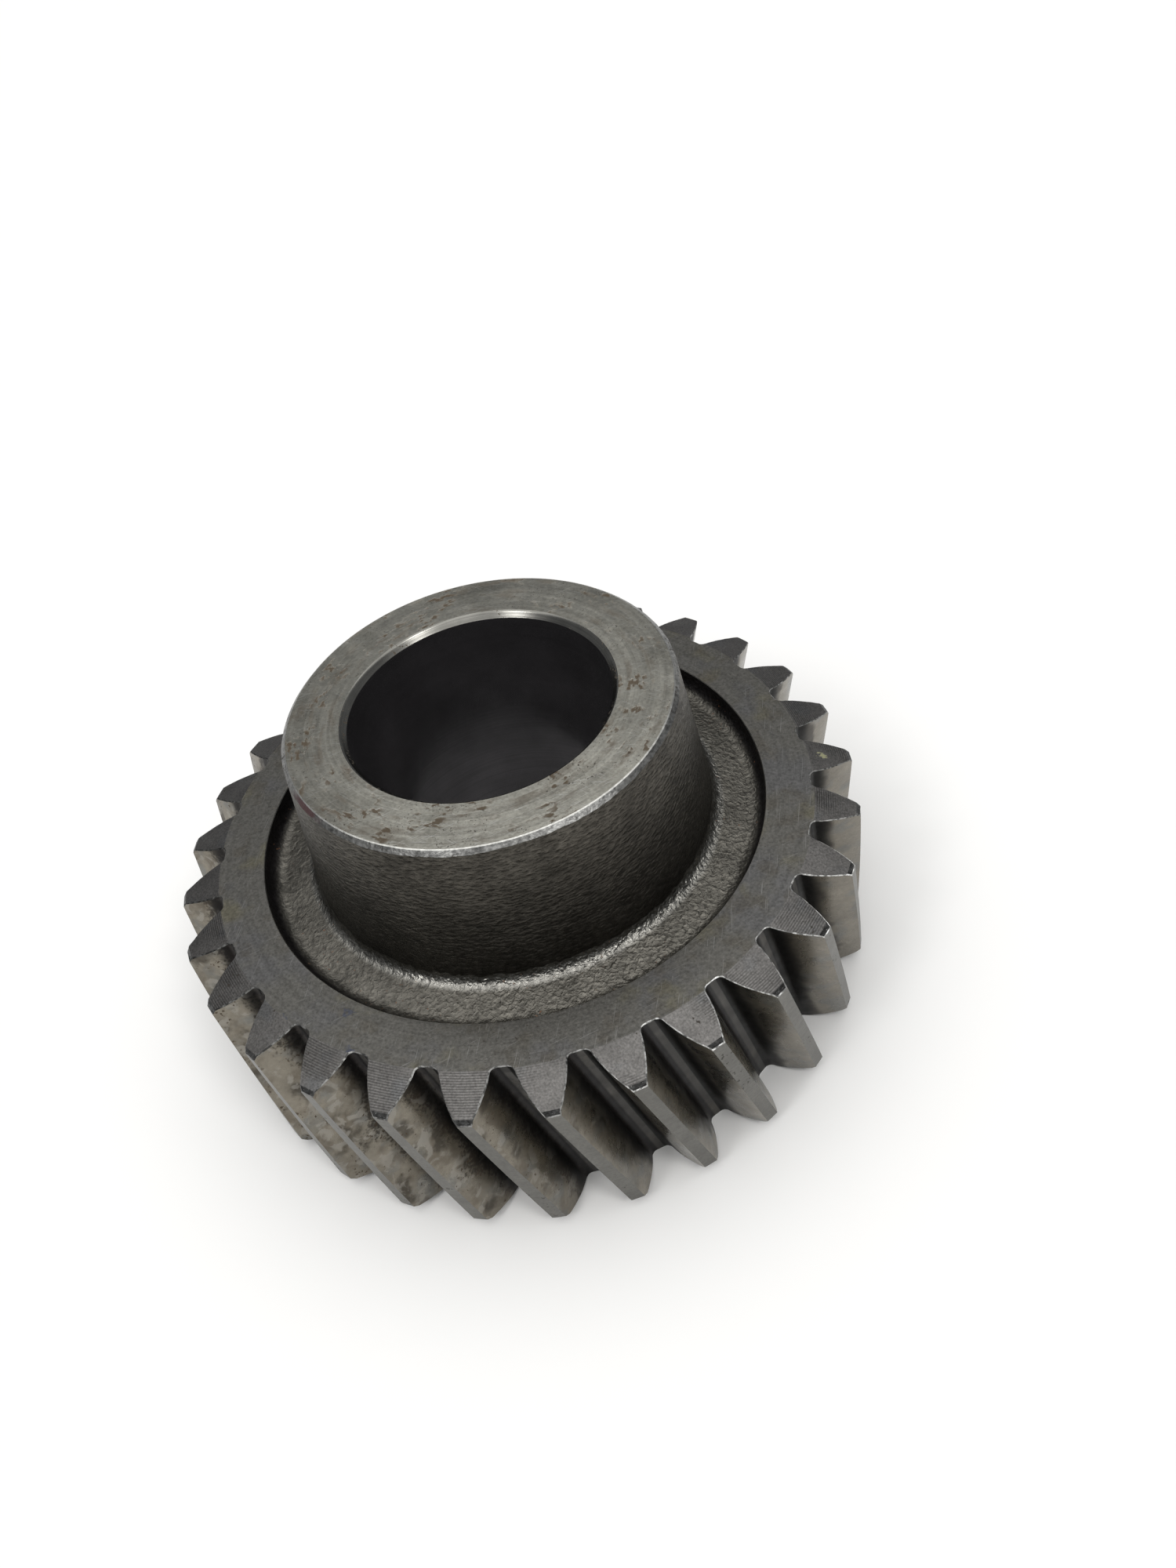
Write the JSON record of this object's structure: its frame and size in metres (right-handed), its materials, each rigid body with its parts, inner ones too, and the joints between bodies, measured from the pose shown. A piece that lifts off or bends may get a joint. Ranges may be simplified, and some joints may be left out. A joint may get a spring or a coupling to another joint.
{
  "type": "helical gear",
  "caption": "Left-hand helical spur gear: a toothed rim with bevelled tooth ends, a shallow forged recess in each face and a long tapered boss with a plain round bore.",
  "frame": {"origin": "where the bore's axis meets the back face, the end away from the boss", "axes": "+Z along the bore towards the boss, +X through the middle of one tooth at the back face"},
  "size_m": [0.1599, 0.16, 0.082],
  "materials": {
    "gear_steel": "bare forged and machined steel, ground on the flanks and in the bore, dark and orange-peel rough where it is left as forged"
  },
  "bodies": {
    "root": {"helical_gear": "gear_steel"}
  },
  "joints": []
}
